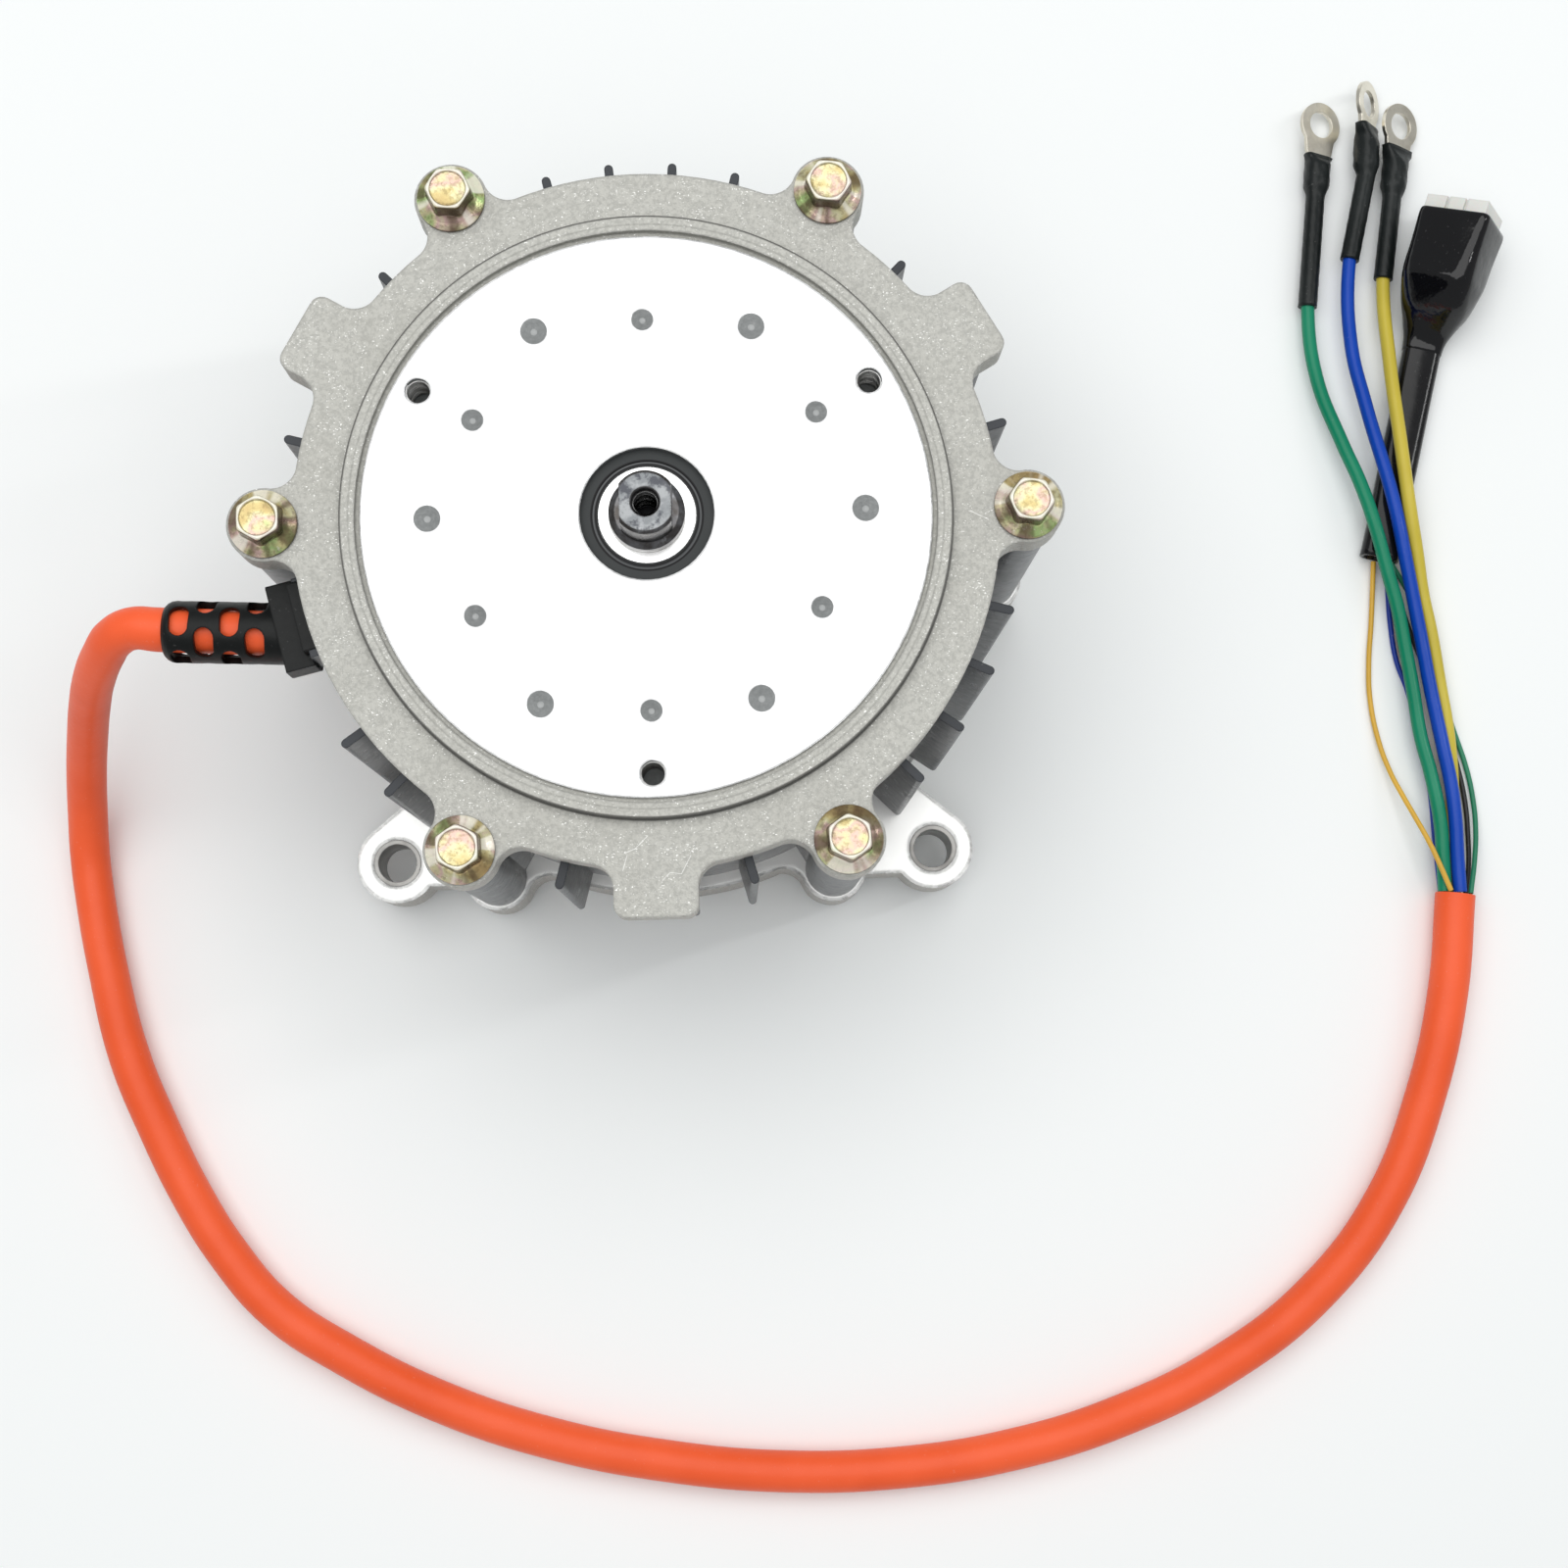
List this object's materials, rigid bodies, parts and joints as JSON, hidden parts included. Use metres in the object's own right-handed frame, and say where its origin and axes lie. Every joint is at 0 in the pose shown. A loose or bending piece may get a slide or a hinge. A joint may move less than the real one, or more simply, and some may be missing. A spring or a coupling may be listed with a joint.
{
  "type": "electric scooter motor",
  "caption": "Finned brushless scooter motor with cast end caps, mounting ears, a flatted shaft end and an orange cable ending in ring terminals and a sensor plug.",
  "frame": {"origin": "middle of the rear face, on the shaft axis", "axes": "+Z along the shaft towards its free end, +X through a case bolt, the mounting ears on the -Y side"},
  "size_m": [0.3372, 0.3247, 0.1032],
  "materials": {
    "cast_alloy": "as cast, with a machined face",
    "housing_anodised": "satin dark grey",
    "bearing_steel": "ground",
    "shaft_steel": "ground, oiled",
    "yellow_zinc": "yellow passivated zinc",
    "gland_black": "matte",
    "lamination_steel": "stacked sheet",
    "bobbin_nylon": "matte",
    "copper_wire": "enamelled",
    "board_green": "solder mask",
    "sensor_black": "moulded",
    "magnet_nickel": "nickel plated",
    "sleeve_steel": "thin stainless band",
    "cage_nylon": "moulded",
    "seal_rubber": "matte",
    "orange_jacket": "satin",
    "green_wire": "satin",
    "blue_wire": "satin",
    "yellow_wire": "satin",
    "yellow_thin_wire": "satin",
    "red_wire": "satin",
    "black_wire": "satin",
    "shrink_black": "satin",
    "tinned_copper": "tinned",
    "sleeve_black": "glossy",
    "connector_white": "translucent white",
    "contact_brass": "stamped"
  },
  "bodies": {
    "motor": {"front_cap": "cast_alloy", "stator_housing": "housing_anodised", "rear_cap": "cast_alloy", "ear_bushes": "bearing_steel", "case_bolts": "yellow_zinc", "cable_gland": "gland_black", "stator_core": "lamination_steel", "slot_insulators": "bobbin_nylon", "stator_windings": "copper_wire", "hall_board": "board_green", "hall_sensors": "sensor_black", "front_bearing_outer_ring": "bearing_steel", "front_bearing_seals": "seal_rubber", "rear_bearing_outer_ring": "bearing_steel", "rear_bearing_seals": "seal_rubber", "wave_washer": "bearing_steel", "motor_cable": "orange_jacket", "green_phase_wire": "green_wire", "blue_phase_wire": "blue_wire", "yellow_phase_wire": "yellow_wire", "green_heat_shrink": "shrink_black", "blue_heat_shrink": "shrink_black", "yellow_heat_shrink": "shrink_black", "green_ring_terminal": "tinned_copper", "blue_ring_terminal": "tinned_copper", "yellow_ring_terminal": "tinned_copper", "red_hall_wire": "red_wire", "black_hall_wire": "black_wire", "yellow_hall_wire": "yellow_thin_wire", "green_hall_wire": "green_wire", "blue_hall_wire": "blue_wire", "hall_sleeve": "sleeve_black", "connector_boot": "sleeve_black", "connector_housing": "connector_white", "connector_contacts": "contact_brass"},
    "rotor": {"motor_shaft": "shaft_steel", "rotor_core": "lamination_steel", "rotor_magnets": "magnet_nickel", "magnet_sleeve": "sleeve_steel", "front_bearing_inner_ring": "bearing_steel", "rear_bearing_inner_ring": "bearing_steel"},
    "front_ball_set": {"front_bearing_balls": "bearing_steel", "front_bearing_cage": "cage_nylon"},
    "rear_ball_set": {"rear_bearing_balls": "bearing_steel", "rear_bearing_cage": "cage_nylon"}
  },
  "joints": [
    {"name": "rotor_spin", "type": "hinge", "parent": "motor", "child": "rotor", "pos_m": [0, 0, 0.05], "axis": [0, 0, 1], "continuous": true},
    {"name": "front_balls_spin", "type": "hinge", "parent": "motor", "child": "front_ball_set", "pos_m": [0, 0, 0.087], "axis": [0, 0, 1], "continuous": true},
    {"name": "rear_balls_spin", "type": "hinge", "parent": "motor", "child": "rear_ball_set", "pos_m": [0, 0, 0.0125], "axis": [0, 0, 1], "continuous": true}
  ],
  "couplings": [
    {"joint": "front_balls_spin", "follows": "rotor_spin", "ratio": 0.3987},
    {"joint": "rear_balls_spin", "follows": "rotor_spin", "ratio": 0.3987}
  ]
}
